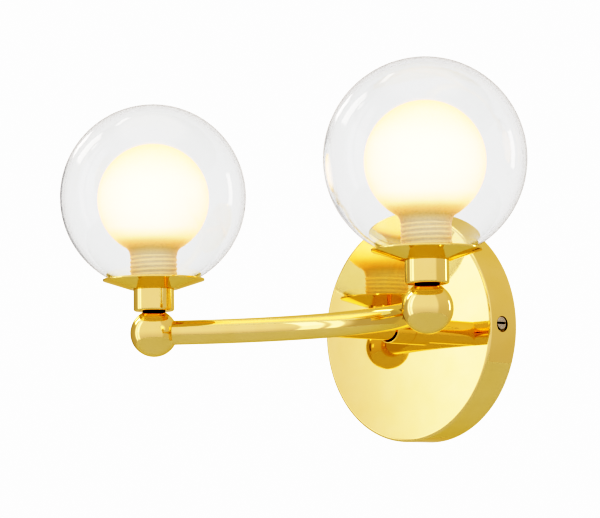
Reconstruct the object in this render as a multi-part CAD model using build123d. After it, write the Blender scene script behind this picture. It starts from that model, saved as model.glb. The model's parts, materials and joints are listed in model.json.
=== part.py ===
"""Double arm wall sconce: a bowed tube on a round canopy carries two double-walled glass globes.

Millimetres.  +Z is up, +X is to the right as seen from the room and +Y goes into the wall.  The origin is
the centre of the wall bracket on the wall plane, so the whole fitting lies at y <= 0 and the bowed arm
lies in the plane z = 0.  Pieces on the wall are drawn in the frame WALL, where z is the distance from the
wall.  Pieces of one lamp are drawn round the centre of its end ball and then set at the arm's end.
"""
from build123d import *
import os
from math import asin, acos, cos, degrees, radians, sin, sqrt, tan

os.makedirs("parts", exist_ok=True)

# ---------------------------------------------------------------- layout of the fitting
LAMP_SPACING = 198.0       # between the two end balls
PROJECTION = 111.5         # wall to the end balls' centres
ARM_ANGLE = 35.0           # each end of the arm against the wall plane, degrees
ARM_STRAIGHT = 20.0        # ball centre to the start of the bend
TUBE_D = 13.0              # arm and stub tube, outside
TUBE_WALL = 1.0

# ---------------------------------------------------------------- canopy, bracket and their screws
CANOPY_D = 120.0
CANOPY_DEPTH = 20.0
CANOPY_WALL = 1.2
CANOPY_EDGE_R = 1.6        # outside radius of the front edge
BRACKET_WIDTH = 24.0
BRACKET_T = 2.0
BRACKET_BEND_R = 1.5       # inside radius of the ears' bends
EAR_DEPTH = 16.0           # wall to the ears' tips
EAR_CORNER_R = 4.0
WALL_SLOT_SPACING = 80.0
WALL_SLOT_LENGTH = 10.0    # end to end
WALL_SLOT_WIDTH = 4.5
CABLE_HOLE_D = 14.0
SIDE_SCREW_SETBACK = 11.0  # wall to the side screws' axis
SIDE_SCREW_D = 4.0
SIDE_SCREW_LENGTH = 8.0    # under the head
SIDE_HEAD_D = 6.9
SIDE_HEAD_SUNK = 0.1       # head face below the canopy's rim
SIDE_SLOT_WIDTH = 1.0
SIDE_SLOT_DEPTH = 1.1
SIDE_HOLE_D = 8.3          # hole in the canopy's rim round the head
CANOPY_HANG = 0.55         # the canopy hangs on the heads, so its holes sit this much low

# ---------------------------------------------------------------- joint of the stub and the canopy
STUB_NIPPLE_D = 8.0
STUB_NIPPLE_BORE = 6.0
STUB_NIPPLE_LENGTH = 24.0
STUB_NIPPLE_END = 11.0     # wall to the nipple's inner end
BUSH_LENGTH = 14.0
COLLAR_D = 16.0
COLLAR_LENGTH = 14.0
COLLAR_EDGE_R = 0.4
COLLAR_MOUTH_D = 14.4      # recess round the tube in the collar's free end
COLLAR_MOUTH_DEPTH = 1.2
WASHER_D = 20.0
WASHER_T = 1.5
STUB_NUT_FLATS = 13.0
STUB_NUT_T = 4.0

# ---------------------------------------------------------------- end ball, neck, cup and tray
BALL_D = 25.4
BALL_FLAT = 9.8            # ball centre to the flat on its top
ARM_INSET = 6.0            # ball centre to the tube's end in its socket
BALL_NIPPLE_D = 10.0
BALL_NIPPLE_BORE = 7.0
BALL_NIPPLE_DEPTH = 5.8    # thread below the ball's flat
SPACER_D = 12.2
SPACER_T = 2.0
CUP_D = 21.7
CUP_H = 11.8
CUP_WALL = 1.0
CUP_FLOOR = 1.5
CUP_EDGE_R = 1.2
TRAY_D = 54.5
TRAY_T = 1.0
TRAY_FLOOR_MARGIN = 2.0    # of the dish's flat middle round the glass carrier
TRAY_SLOPE = 18.0          # of the dish's side, degrees

# ---------------------------------------------------------------- glass carrier and lampholder
CARRIER_H = 14.0
CARRIER_WALL = 1.4
CARRIER_FLOOR = 1.5
CARRIER_NUT_FLATS = 14.0
CARRIER_NUT_T = 3.0
BALL_NIPPLE_PROUD = 2.0    # nipple above its nut
HOLDER_D = 17.0
HOLDER_H = 18.0
HOLDER_FLANGE_T = 2.5
HOLDER_FLANGE_H = 7.0      # holder's foot to its flange
HOLDER_RECESS_D = 11.6
HOLDER_RECESS_H = 4.0
PIN_SPACING = 9.0
PIN_WIDTH = 2.6
PIN_T = 1.0
PIN_LENGTH = 7.5
PIN_SLOT_DEPTH = 9.0

# ---------------------------------------------------------------- lamp
LAMP_BASE_D = 15.0
LAMP_BASE_H = 9.0
LAMP_BASE_EDGE_R = 1.0
LAMP_D = 14.0
LAMP_H = 31.0              # glass above its base

# ---------------------------------------------------------------- double-walled glass
GLOBE_D = 100.0
GLOBE_WALL = 2.0
OPAL_D = 60.0
OPAL_WALL = 1.8
OPAL_DROP = 1.2            # opal bulb's centre below the clear globe's
NECK_D = 25.4
NECK_WALL = 2.0
SHOULDER_R = 6.0           # outside radius between neck and bulb

# ---------------------------------------------------------------- wiring
LEAD_D = 1.4
LEAD_RISE = 1.0            # live lead above and neutral lead below the arm's centre line
LEAD_SIDE = 1.2            # each lamp's pair beside the stub's centre line
LEAD_BALL_R = 6.0          # of the pair's bend inside the ball
LEAD_BRANCH_R = 8.0        # from the arm into the stub
LEAD_TURN_R = 5.0          # of the nearer pair, from the stub to the terminals
LEAD_SPREAD_R = 6.0        # of the double bend that spreads the leads to the terminals
LEAD_TAIL = 6.0            # straight end in the terminals
TERMINAL_PITCH = 8.0
TERMINAL_LENGTH = 17.0     # along the leads
TERMINAL_DEPTH = 13.0      # off the bracket
TERMINAL_EDGE_R = 1.0
TERMINAL_BORE = 4.2
TERMINAL_ENTRY = 1.5       # straight lead before the block
TERMINAL_SCREW_D = 4.0
TERMINAL_SCREW_SUNK = 2.0  # below the block's face
TERMINAL_SCREW_SPACING = 8.5
BLOCK_SCREW_D = 3.0
BLOCK_HEAD_D = 5.4
BLOCK_HEAD_T = 1.6
BLOCK_SCREW_CUT = 0.3      # its end stays this far off the wall
EARTH_X = -20.0            # earth screw on the bracket
EARTH_SCREW_D = 4.0
EARTH_SCREW_LENGTH = 9.0
EARTH_HEAD_D = 7.5
EARTH_HEAD_T = 2.6
EARTH_WASHER_D = 10.0
EARTH_WASHER_T = 1.2

# ---------------------------------------------------------------- fits
THREAD_FIT = 0.05          # radial play of a thread drawn as a plain shaft
SLIP_FIT = 0.1             # radial play of a part slipped over or into another
NECK_FIT = 0.1             # carrier in the glass neck, radial
GLASS_SEAT = 0.25          # globe off the tray's cone
EAR_CLEARANCE = 0.4        # ears' corners off the canopy's wall
SCREW_REST = 0.05          # side screw's head off its ear
LAMP_REST = 0.3            # lamp's foot off the holder
PIN_FIT = 0.3              # round the pins in their slots

# ---------------------------------------------------------------- worked out from the above
SAME = 1e-6                # points nearer than this are one point
WALL = Plane(origin=(0, 0, 0), x_dir=(1, 0, 0), z_dir=(0, -1, 0))
SIDES = {"left": -1, "right": 1}
POLES = {"live": 1, "neutral": -1}
TUBE_R = TUBE_D / 2
TUBE_BORE_R = TUBE_R - TUBE_WALL
ARM_TAN = (cos(radians(ARM_ANGLE)), sin(radians(ARM_ANGLE)))
ARM_R = (LAMP_SPACING / 2 - ARM_STRAIGHT * ARM_TAN[0]) / ARM_TAN[1]
ARM_CENTRE_Y = -PROJECTION + ARM_STRAIGHT * ARM_TAN[1] - ARM_R * ARM_TAN[0]
ARM_MIDDLE_Y = ARM_CENTRE_Y + ARM_R
EAR_X = sqrt((CANOPY_D / 2 - CANOPY_WALL - EAR_CLEARANCE) ** 2 - (BRACKET_WIDTH / 2) ** 2)
CANOPY_INSIDE = CANOPY_DEPTH - CANOPY_WALL
BALL_NIPPLE_FOOT = BALL_FLAT - BALL_NIPPLE_DEPTH
CUP_Z = BALL_FLAT + SPACER_T
TRAY_Z = CUP_Z + CUP_H
FLOOR_Z = TRAY_Z + TRAY_T
CARRIER_R = NECK_D / 2 - NECK_WALL - NECK_FIT
CARRIER_BORE_R = CARRIER_R - CARRIER_WALL
NUT_Z = FLOOR_Z + CARRIER_FLOOR
HOLDER_Z = NUT_Z + CARRIER_NUT_T
LAMP_Z = HOLDER_Z + HOLDER_H + LAMP_REST
TRAY_FLOOR_R = CARRIER_R + TRAY_FLOOR_MARGIN
GLOBE_Z = (FLOOR_Z + (GLOBE_D / 2 + GLASS_SEAT) / cos(radians(TRAY_SLOPE))
           - TRAY_FLOOR_R * tan(radians(TRAY_SLOPE)))
OPAL_Z = GLOBE_Z - OPAL_DROP
NECK_Z = GLOBE_Z - sqrt((GLOBE_D / 2) ** 2 - (NECK_D / 2) ** 2)
TERMINAL_X = LEAD_SIDE + LEAD_TURN_R + TERMINAL_ENTRY


# ================================================================ drawing helpers
def turned(*outline):
    """Revolve the closed outline (radius, height) made by lines and arcs about Z."""
    edges = [edge for piece in outline for edge in piece.edges()]
    return revolve(Plane.XZ * make_face(edges), Axis.Z)


def turned_polygon(*points):
    """Revolve a polygon of (radius, height) points about Z."""
    return turned(Polyline(*points, close=True))


def ring(outer_r, inner_r, length, z=0.0):
    """A plain ring standing on height z."""
    return turned_polygon((inner_r, z), (outer_r, z), (outer_r, z + length), (inner_r, z + length))


def hexagon_nut(flats, bore_r, height):
    """A hexagon nut with its corners turned off at thirty degrees, standing on z = 0."""
    hexagon = extrude(RegularPolygon(flats / 2, 6, major_radius=False), height)
    corner_r = flats / sqrt(3)
    drop = (corner_r - flats / 2) * tan(radians(30))
    blank = turned_polygon((bore_r, 0), (flats / 2, 0), (corner_r, drop), (corner_r, height - drop),
                           (flats / 2, height), (bore_r, height))
    return hexagon & blank


def arc_points(centre, radius, start, end):
    """Start, middle and end of an arc in the plane, angles in degrees from the first axis."""
    angles = (radians(start), radians((start + end) / 2), radians(end))
    return [(centre[0] + radius * cos(a), centre[1] + radius * sin(a)) for a in angles]


def flat_arc(centre, radius, start, end):
    """An arc of a profile."""
    return ThreePointArc(*arc_points(centre, radius, start, end))


def round_wire(route, radius):
    """A round bar of the given radius along a route of lines and tangent arcs."""
    path = Wire(route)
    section = Plane(origin=path @ 0, z_dir=path % 0) * Circle(radius)
    return sweep(section, path=path)


def on_side(piece, side):
    """Set a piece drawn for the left lamp, round its ball's centre, at the left or the right."""
    placed = Pos(-LAMP_SPACING / 2, -PROJECTION, 0) * piece
    return placed if side < 0 else mirror(placed, about=Plane.YZ)


# ================================================================ arm
def arm_route(inset):
    """Centre line of the bowed arm, each end stopping short of its ball's centre by the inset."""
    end_x = LAMP_SPACING / 2 - inset * ARM_TAN[0]
    end_y = -PROJECTION + inset * ARM_TAN[1]
    bend = arc_points((0, ARM_CENTRE_Y), ARM_R, 90 + ARM_ANGLE, 90 - ARM_ANGLE)
    return [Line((-end_x, end_y), bend[0]), ThreePointArc(*bend), Line(bend[2], (end_x, end_y))]


def stub_bar(radius, start_y):
    """A bar along the stub's axis, from the arm towards the wall, ending at the canopy's face."""
    length = -start_y - CANOPY_DEPTH
    return WALL * Pos(0, 0, CANOPY_DEPTH + length / 2) * Cylinder(radius, length)


def make_arm_tube():
    outside = round_wire(arm_route(ARM_INSET), TUBE_R)
    inside = round_wire(arm_route(ARM_INSET), TUBE_BORE_R)
    return outside - inside - stub_bar(TUBE_BORE_R, ARM_MIDDLE_Y)


def make_stub_tube():
    """The stub, coped to saddle the arm's wall side."""
    stub = stub_bar(TUBE_R, ARM_MIDDLE_Y) - stub_bar(TUBE_BORE_R, ARM_MIDDLE_Y)
    return stub - round_wire(arm_route(ARM_INSET), TUBE_R)


# ================================================================ canopy and wall bracket
def make_canopy():
    """A pressed cup, open to the wall, with a small radius on its front edge."""
    outer_r = CANOPY_D / 2
    inner_r = outer_r - CANOPY_WALL
    inner_edge = max(CANOPY_EDGE_R - CANOPY_WALL, 0.2)
    hole_r = STUB_NIPPLE_D / 2 + SLIP_FIT
    outer_corner = (outer_r - CANOPY_EDGE_R, CANOPY_DEPTH - CANOPY_EDGE_R)
    inner_corner = (inner_r - inner_edge, CANOPY_INSIDE - inner_edge)
    outer_arc = flat_arc(outer_corner, CANOPY_EDGE_R, 0, 90)
    inner_arc = flat_arc(inner_corner, inner_edge, 90, 0)
    shell = turned(Line((inner_r, 0), (outer_r, 0)), Line((outer_r, 0), outer_arc @ 0), outer_arc,
                   Line(outer_arc @ 1, (hole_r, CANOPY_DEPTH)),
                   Line((hole_r, CANOPY_DEPTH), (hole_r, CANOPY_INSIDE)),
                   Line((hole_r, CANOPY_INSIDE), inner_arc @ 0), inner_arc,
                   Line(inner_arc @ 1, (inner_r, 0)))
    hole = Pos(0, -CANOPY_HANG, SIDE_SCREW_SETBACK) * Rot(0, 90, 0) * Cylinder(SIDE_HOLE_D / 2, CANOPY_D * 2)
    return WALL * (shell - hole)


def corners_at(section, x, y):
    """A flat section's two corners at plus and minus x on height y."""
    return [v for v in section.vertices() if abs(abs(v.X) - x) < SAME and abs(v.Y - y) < SAME]


def make_wall_bracket():
    """A steel strap with two ears bent forward, slotted for wall screws and tapped for side screws."""
    inner_x = EAR_X - BRACKET_T
    outline = Polyline((-EAR_X, 0), (EAR_X, 0), (EAR_X, EAR_DEPTH), (inner_x, EAR_DEPTH), (inner_x, BRACKET_T),
                       (-inner_x, BRACKET_T), (-inner_x, EAR_DEPTH), (-EAR_X, EAR_DEPTH), close=True)
    section = make_face(outline.edges())
    section = fillet(corners_at(section, EAR_X, 0), BRACKET_BEND_R + BRACKET_T)
    section = fillet(corners_at(section, inner_x, BRACKET_T), BRACKET_BEND_R)
    strap = extrude(Plane.XZ * section, BRACKET_WIDTH / 2, both=True)
    tips = strap.edges().filter_by(Axis.X).group_by(lambda e: e.center().Z)[-1]
    strap = fillet(tips, EAR_CORNER_R)
    slot = extrude(SlotOverall(WALL_SLOT_LENGTH, WALL_SLOT_WIDTH), BRACKET_T * 2, both=True)
    strap -= [Pos(x, 0, 0) * slot for x in (-WALL_SLOT_SPACING / 2, WALL_SLOT_SPACING / 2)]
    strap -= Cylinder(CABLE_HOLE_D / 2, BRACKET_T * 4)
    strap -= Pos(EARTH_X, 0, 0) * Cylinder(EARTH_SCREW_D / 2 + THREAD_FIT, BRACKET_T * 4)
    strap -= Pos(block_screw_x(), 0, 0) * Cylinder(BLOCK_SCREW_D / 2 + THREAD_FIT, BRACKET_T * 4)
    tapped_r = SIDE_SCREW_D / 2 + THREAD_FIT
    strap -= Pos(0, 0, SIDE_SCREW_SETBACK) * Rot(0, 90, 0) * Cylinder(tapped_r, EAR_X * 3)
    return WALL * strap


def make_side_screw():
    """A slotted cheese-head screw along +X, drawn for the right ear."""
    head_start = EAR_X + SCREW_REST
    head_end = CANOPY_D / 2 - SIDE_HEAD_SUNK
    head_t = head_end - head_start
    screw = ring(SIDE_HEAD_D / 2, 0, head_t)
    screw = chamfer(screw.edges().group_by(Axis.Z)[-1], SIDE_HEAD_SUNK * 3)
    screw += Pos(0, 0, -SIDE_SCREW_LENGTH / 2) * Cylinder(SIDE_SCREW_D / 2, SIDE_SCREW_LENGTH)
    screw -= Pos(0, 0, head_t) * Box(SIDE_SLOT_WIDTH, SIDE_HEAD_D * 2, SIDE_SLOT_DEPTH * 2)
    return WALL * Pos(head_start, 0, SIDE_SCREW_SETBACK) * Rot(0, 90, 0) * Rot(0, 0, 90) * screw


# ================================================================ stub's joint with the canopy
def make_collar():
    """The sleeve that covers the joint of the stub and the canopy, with a recess round the tube."""
    top = CANOPY_DEPTH + COLLAR_LENGTH
    bore_r = TUBE_R + SLIP_FIT
    edge = flat_arc((COLLAR_D / 2 - COLLAR_EDGE_R, top - COLLAR_EDGE_R), COLLAR_EDGE_R, 0, 90)
    collar = turned(Line((bore_r, CANOPY_DEPTH), (COLLAR_D / 2, CANOPY_DEPTH)),
                    Line((COLLAR_D / 2, CANOPY_DEPTH), edge @ 0), edge,
                    Polyline(edge @ 1, (COLLAR_MOUTH_D / 2, top),
                             (bore_r, top - COLLAR_MOUTH_DEPTH), (bore_r, CANOPY_DEPTH)))
    return WALL * collar


def make_stub_bush():
    return WALL * ring(TUBE_BORE_R, STUB_NIPPLE_D / 2 + THREAD_FIT, BUSH_LENGTH, CANOPY_DEPTH)


def make_stub_nipple():
    return WALL * ring(STUB_NIPPLE_D / 2, STUB_NIPPLE_BORE / 2, STUB_NIPPLE_LENGTH, STUB_NIPPLE_END)


def make_lock_washer():
    return WALL * ring(WASHER_D / 2, STUB_NIPPLE_D / 2 + SLIP_FIT, WASHER_T, CANOPY_INSIDE - WASHER_T)


def make_stub_nut():
    nut = hexagon_nut(STUB_NUT_FLATS, STUB_NIPPLE_D / 2 + THREAD_FIT, STUB_NUT_T)
    return WALL * Pos(0, 0, CANOPY_INSIDE - WASHER_T - STUB_NUT_T) * nut


# ================================================================ ball, neck, cup and tray
def make_end_ball():
    """A ball with a flat top, tapped for the nipple and bored towards the arm for the tube."""
    ball = Sphere(BALL_D / 2) - Pos(0, 0, BALL_FLAT + BALL_D / 2) * Box(BALL_D, BALL_D, BALL_D)
    tapped_r = BALL_NIPPLE_D / 2 + THREAD_FIT
    ball -= Pos(0, 0, BALL_D / 2) * Cylinder(tapped_r, BALL_D)
    towards_arm = Rot(0, 0, ARM_ANGLE) * Rot(0, 90, 0)
    ball -= towards_arm * Pos(0, 0, BALL_D / 2) * Cylinder(tapped_r, BALL_D)
    ball -= Sphere(tapped_r)
    return ball - towards_arm * Pos(0, 0, ARM_INSET + BALL_D / 2) * Cylinder(TUBE_R + SLIP_FIT / 2, BALL_D)


def make_ball_nipple():
    top = HOLDER_Z + BALL_NIPPLE_PROUD
    return ring(BALL_NIPPLE_D / 2, BALL_NIPPLE_BORE / 2, top - BALL_NIPPLE_FOOT, BALL_NIPPLE_FOOT)


def make_neck_spacer():
    return ring(SPACER_D / 2, BALL_NIPPLE_D / 2 + SLIP_FIT, SPACER_T, BALL_FLAT)


def make_cup():
    """A turned cup under the tray, its lower edge rounded."""
    outer_r = CUP_D / 2
    hole_r = BALL_NIPPLE_D / 2 + SLIP_FIT
    edge = flat_arc((outer_r - CUP_EDGE_R, CUP_Z + CUP_EDGE_R), CUP_EDGE_R, -90, 0)
    return turned(Line((hole_r, CUP_Z), edge @ 0), edge,
                  Polyline(edge @ 1, (outer_r, TRAY_Z), (outer_r - CUP_WALL, TRAY_Z),
                           (outer_r - CUP_WALL, CUP_Z + CUP_FLOOR), (hole_r, CUP_Z + CUP_FLOOR),
                           (hole_r, CUP_Z)))


def make_tray():
    """A shallow spun dish: a flat middle and a straight cone that the globe nearly touches."""
    rise = (TRAY_D / 2 - TRAY_FLOOR_R) * tan(radians(TRAY_SLOPE))
    under = TRAY_T * tan(radians(TRAY_SLOPE) / 2)
    hole_r = BALL_NIPPLE_D / 2 + SLIP_FIT
    dish = turned_polygon((hole_r, TRAY_Z), (TRAY_FLOOR_R + under, TRAY_Z),
                          (TRAY_D / 2, TRAY_Z + rise - under * tan(radians(TRAY_SLOPE))),
                          (TRAY_D / 2, FLOOR_Z + rise), (TRAY_FLOOR_R, FLOOR_Z), (hole_r, FLOOR_Z))
    rim = dish.edges().filter_by(GeomType.CIRCLE).sort_by(lambda e: e.radius)[-2:]
    return fillet(rim, TRAY_T / 3)


# ================================================================ glass carrier and lampholder
def make_glass_carrier():
    """The threaded cup on the tray's floor that the glass neck screws over."""
    hole_r = BALL_NIPPLE_D / 2 + SLIP_FIT
    return turned_polygon((hole_r, FLOOR_Z), (CARRIER_R, FLOOR_Z), (CARRIER_R, FLOOR_Z + CARRIER_H),
                          (CARRIER_BORE_R, FLOOR_Z + CARRIER_H), (CARRIER_BORE_R, NUT_Z), (hole_r, NUT_Z))


def make_carrier_nut():
    return Pos(0, 0, NUT_Z) * hexagon_nut(CARRIER_NUT_FLATS, BALL_NIPPLE_D / 2 + THREAD_FIT, CARRIER_NUT_T)


def pin_places():
    """The two places of the pins and their slots, side by side along X."""
    return [Pos(x, 0, 0) for x in (-PIN_SPACING / 2, PIN_SPACING / 2)]


def make_lampholder():
    """A ceramic two-pin holder whose flange fits the carrier's bore."""
    flange_r = CARRIER_BORE_R - SLIP_FIT
    flange_z = HOLDER_Z + HOLDER_FLANGE_H
    recess_r = HOLDER_RECESS_D / 2
    holder = turned_polygon((recess_r, HOLDER_Z), (HOLDER_D / 2, HOLDER_Z), (HOLDER_D / 2, flange_z),
                            (flange_r, flange_z), (flange_r, flange_z + HOLDER_FLANGE_T),
                            (HOLDER_D / 2, flange_z + HOLDER_FLANGE_T), (HOLDER_D / 2, HOLDER_Z + HOLDER_H),
                            (0, HOLDER_Z + HOLDER_H), (0, HOLDER_Z + HOLDER_RECESS_H),
                            (recess_r, HOLDER_Z + HOLDER_RECESS_H))
    slot = Box(PIN_WIDTH + 2 * PIN_FIT, PIN_T + 2 * PIN_FIT, 2 * PIN_SLOT_DEPTH)
    holder -= [place * Pos(0, 0, HOLDER_Z + HOLDER_H) * slot for place in pin_places()]
    return holder


# ================================================================ lamp
def make_lamp_base():
    edge_r = LAMP_BASE_EDGE_R
    lower = flat_arc((LAMP_BASE_D / 2 - edge_r, LAMP_Z + edge_r), edge_r, -90, 0)
    upper = flat_arc((LAMP_BASE_D / 2 - edge_r, LAMP_Z + LAMP_BASE_H - edge_r), edge_r, 0, 90)
    return turned(Line((0, LAMP_Z), lower @ 0), lower, Line(lower @ 1, upper @ 0), upper,
                  Polyline(upper @ 1, (0, LAMP_Z + LAMP_BASE_H), (0, LAMP_Z)))


def make_lamp_capsule():
    """The lamp's glass: a cylinder with a half-round end."""
    foot = LAMP_Z + LAMP_BASE_H
    dome = flat_arc((0, foot + LAMP_H - LAMP_D / 2), LAMP_D / 2, 0, 90)
    return turned(Line((0, foot), (LAMP_D / 2, foot)), Line((LAMP_D / 2, foot), dome @ 0), dome,
                  Line(dome @ 1, (0, foot)))


def make_lamp_pins():
    """Two flattened wire loops, round at their tips."""
    blade = extrude(Plane.XZ * SlotOverall(PIN_LENGTH * 2, PIN_WIDTH, rotation=90), PIN_T / 2, both=True)
    blade &= Pos(0, 0, -PIN_LENGTH / 2) * Box(PIN_WIDTH * 2, PIN_T * 2, PIN_LENGTH)
    return Compound(children=[place * Pos(0, 0, LAMP_Z) * blade for place in pin_places()])


# ================================================================ glass
def bulb_outline(bulb_r, neck_r, shoulder_r, bulb_z):
    """Outline from the neck's foot through a round shoulder and over the bulb to its top."""
    shoulder_z = bulb_z - sqrt((bulb_r + shoulder_r) ** 2 - (neck_r + shoulder_r) ** 2)
    turn = degrees(asin((neck_r + shoulder_r) / (bulb_r + shoulder_r)))
    shoulder = flat_arc((neck_r + shoulder_r, shoulder_z), shoulder_r, 180, 90 + turn)
    bulb = flat_arc((0, bulb_z), bulb_r, -90 + turn, 90)
    return [Line((neck_r, NECK_Z), shoulder @ 0), shoulder, bulb]


def make_opal_bulb():
    """The frosted inner glass: a ball on a neck, open at the foot."""
    outer = bulb_outline(OPAL_D / 2, NECK_D / 2, SHOULDER_R, OPAL_Z)
    inner = bulb_outline(OPAL_D / 2 - OPAL_WALL, NECK_D / 2 - NECK_WALL, SHOULDER_R + OPAL_WALL, OPAL_Z)
    foot = Line((NECK_D / 2 - NECK_WALL, NECK_Z), (NECK_D / 2, NECK_Z))
    crown = Line((0, OPAL_Z + OPAL_D / 2), (0, OPAL_Z + OPAL_D / 2 - OPAL_WALL))
    return turned(foot, *outer, crown, *inner)


def make_clear_globe():
    """The clear outer glass, fused to the neck round its foot."""
    neck_r = NECK_D / 2
    outer_r = GLOBE_D / 2
    inner_r = outer_r - GLOBE_WALL
    outer = flat_arc((0, GLOBE_Z), outer_r, -degrees(acos(neck_r / outer_r)), 90)
    inner = flat_arc((0, GLOBE_Z), inner_r, -degrees(acos(neck_r / inner_r)), 90)
    return turned(outer, Line(outer @ 1, inner @ 1), inner, Line(inner @ 0, outer @ 0))


# ================================================================ terminals, earth and leads
def block_screw_x():
    """Middle of the terminal block along the bracket."""
    spread = acos(1 - (TERMINAL_PITCH / 2 - LEAD_RISE) / (2 * LEAD_SPREAD_R))
    return TERMINAL_X + 2 * LEAD_SPREAD_R * sin(spread) + TERMINAL_LENGTH / 2


def terminal_axis():
    """Distance from the wall to the middle of the two pairs where they enter the block."""
    return STUB_NIPPLE_END - LEAD_TURN_R - LEAD_SIDE


def make_terminal_block():
    """A moulded two-pole block with cross bores for the leads and wells for the screws."""
    block = Box(TERMINAL_LENGTH, TERMINAL_PITCH * 2, TERMINAL_DEPTH)
    block = fillet(block.edges().filter_by(Axis.Z), TERMINAL_EDGE_R)
    block = Pos(0, 0, BRACKET_T + TERMINAL_DEPTH / 2) * block
    bore = Pos(0, 0, terminal_axis()) * Rot(0, 90, 0) * Cylinder(TERMINAL_BORE / 2, TERMINAL_LENGTH * 2)
    block -= [Pos(0, pole * TERMINAL_PITCH / 2, 0) * bore for pole in POLES.values()]
    well = ring(TERMINAL_SCREW_D / 2 + SLIP_FIT, 0, TERMINAL_DEPTH, terminal_screw_tip())
    block -= [place * well for place in terminal_screw_places()]
    block -= ring(BLOCK_SCREW_D / 2 + SLIP_FIT, 0, TERMINAL_DEPTH * 2)
    block -= ring(BLOCK_HEAD_D / 2 + SLIP_FIT, 0, TERMINAL_DEPTH, block_head_seat())
    return WALL * Pos(block_screw_x(), 0, 0) * block


def terminal_screw_places():
    """The four clamping screws of the block, round the block's middle."""
    return [Pos(x, pole * TERMINAL_PITCH / 2, 0) for pole in POLES.values()
            for x in (-TERMINAL_SCREW_SPACING / 2, TERMINAL_SCREW_SPACING / 2)]


def terminal_screw_tip():
    """Distance from the wall to the clamping screws' tips, which press on the nearer pair."""
    return terminal_axis() + LEAD_SIDE + LEAD_D / 2


def make_terminal_screws():
    length = BRACKET_T + TERMINAL_DEPTH - TERMINAL_SCREW_SUNK - terminal_screw_tip()
    screw = ring(TERMINAL_SCREW_D / 2, 0, length, terminal_screw_tip())
    slot = Box(TERMINAL_SCREW_D * 2, SIDE_SLOT_WIDTH, SIDE_SLOT_DEPTH * 2)
    screw -= Pos(0, 0, terminal_screw_tip() + length) * slot
    screws = [WALL * Pos(block_screw_x(), 0, 0) * place * screw for place in terminal_screw_places()]
    return Compound(children=screws)


def block_head_seat():
    """Distance from the wall to the seat of the screw that holds the block."""
    return BRACKET_T + TERMINAL_DEPTH - BLOCK_HEAD_T


def pan_screw(diameter, head_d, head_t, seat, tip):
    """A slotted screw with a flat round head, its head seated at one distance from the wall."""
    shank = ring(diameter / 2, 0, seat - tip, tip)
    head = ring(head_d / 2, 0, head_t, seat)
    slot = Box(head_d * 2, SIDE_SLOT_WIDTH, head_t)
    return shank + head - Pos(0, 0, seat + head_t) * slot


def make_block_screw():
    screw = pan_screw(BLOCK_SCREW_D, BLOCK_HEAD_D, BLOCK_HEAD_T, block_head_seat(), BLOCK_SCREW_CUT)
    return WALL * Pos(block_screw_x(), 0, 0) * screw


def make_earth_washer():
    return WALL * Pos(EARTH_X, 0, 0) * ring(EARTH_WASHER_D / 2, EARTH_SCREW_D / 2 + SLIP_FIT, EARTH_WASHER_T,
                                            BRACKET_T)


def make_earth_screw():
    screw = pan_screw(EARTH_SCREW_D, EARTH_HEAD_D, EARTH_HEAD_T, BRACKET_T + EARTH_WASHER_T, BLOCK_SCREW_CUT)
    return WALL * Pos(EARTH_X, 0, 0) * screw


def in_ball(along, height):
    """A point in the upright plane through the left ball's centre and the arm's end."""
    return (-LAMP_SPACING / 2 + along * ARM_TAN[0], -PROJECTION + along * ARM_TAN[1], height)


def level(points, height):
    """Lift points of the arm's plane to a height."""
    return [(x, y, height) for x, y in points]


def lead_up(pole):
    """From the left lampholder down through the nipple and round the bend inside the ball."""
    rise = pole * LEAD_RISE
    radius = LEAD_BALL_R - rise
    bend = [in_ball(*point) for point in arc_points((LEAD_BALL_R, LEAD_BALL_R), radius, 180, 270)]
    return [Line(in_ball(rise, HOLDER_Z + HOLDER_RECESS_H), bend[0]), ThreePointArc(*bend)], bend[2]


def lead_along(start, rise):
    """From the left ball along the arm and into the stub."""
    reach = ARM_R + LEAD_BRANCH_R
    lean = degrees(asin((LEAD_SIDE + LEAD_BRANCH_R) / reach))
    bow = level(arc_points((0, ARM_CENTRE_Y), ARM_R, 90 + ARM_ANGLE, 90 + lean), rise)
    centre = (-LEAD_SIDE - LEAD_BRANCH_R, ARM_CENTRE_Y + reach * cos(radians(lean)))
    branch = level(arc_points(centre, LEAD_BRANCH_R, lean - 90, 0), rise)
    mouth = (-LEAD_SIDE, -STUB_NIPPLE_END, rise)
    return [Line(start, bow[0]), ThreePointArc(*bow), ThreePointArc(*branch), Line(branch[2], mouth)]


def lead_in(side, pole):
    """From the nipple's mouth round to the terminals, spreading to the pole's bore."""
    rise = pole * LEAD_RISE
    spread = acos(1 - (TERMINAL_PITCH / 2 - LEAD_RISE) / (2 * LEAD_SPREAD_R))
    turn_x = LEAD_SIDE + LEAD_TURN_R
    turn_r = turn_x - side * LEAD_SIDE
    turn = level(arc_points((turn_x, -STUB_NIPPLE_END), turn_r, 180, 90), rise)
    depth = turn[2][1]
    swing = LEAD_SPREAD_R * sin(spread)
    first = arc_points((turn_x, LEAD_RISE + LEAD_SPREAD_R), LEAD_SPREAD_R, -90, degrees(spread) - 90)
    second = arc_points((turn_x + 2 * swing, TERMINAL_PITCH / 2 - LEAD_SPREAD_R), LEAD_SPREAD_R,
                        90 + degrees(spread), 90)
    first, second = ([(x, depth, pole * z) for x, z in points] for points in (first, second))
    tail_end = (second[2][0] + TERMINAL_ENTRY + LEAD_TAIL, depth, second[2][2])
    return [ThreePointArc(*turn), ThreePointArc(*first), ThreePointArc(*second), Line(second[2], tail_end)]


def make_lead(side, pole):
    """One insulated lead from a lampholder through ball, arm, stub and nipple to the terminals."""
    upper, foot = lead_up(pole)
    held = Wire(upper + lead_along(foot, pole * LEAD_RISE))
    held = held if side < 0 else held.mirror(Plane.YZ)
    return round_wire(held.edges() + lead_in(side, pole), LEAD_D / 2)


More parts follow.
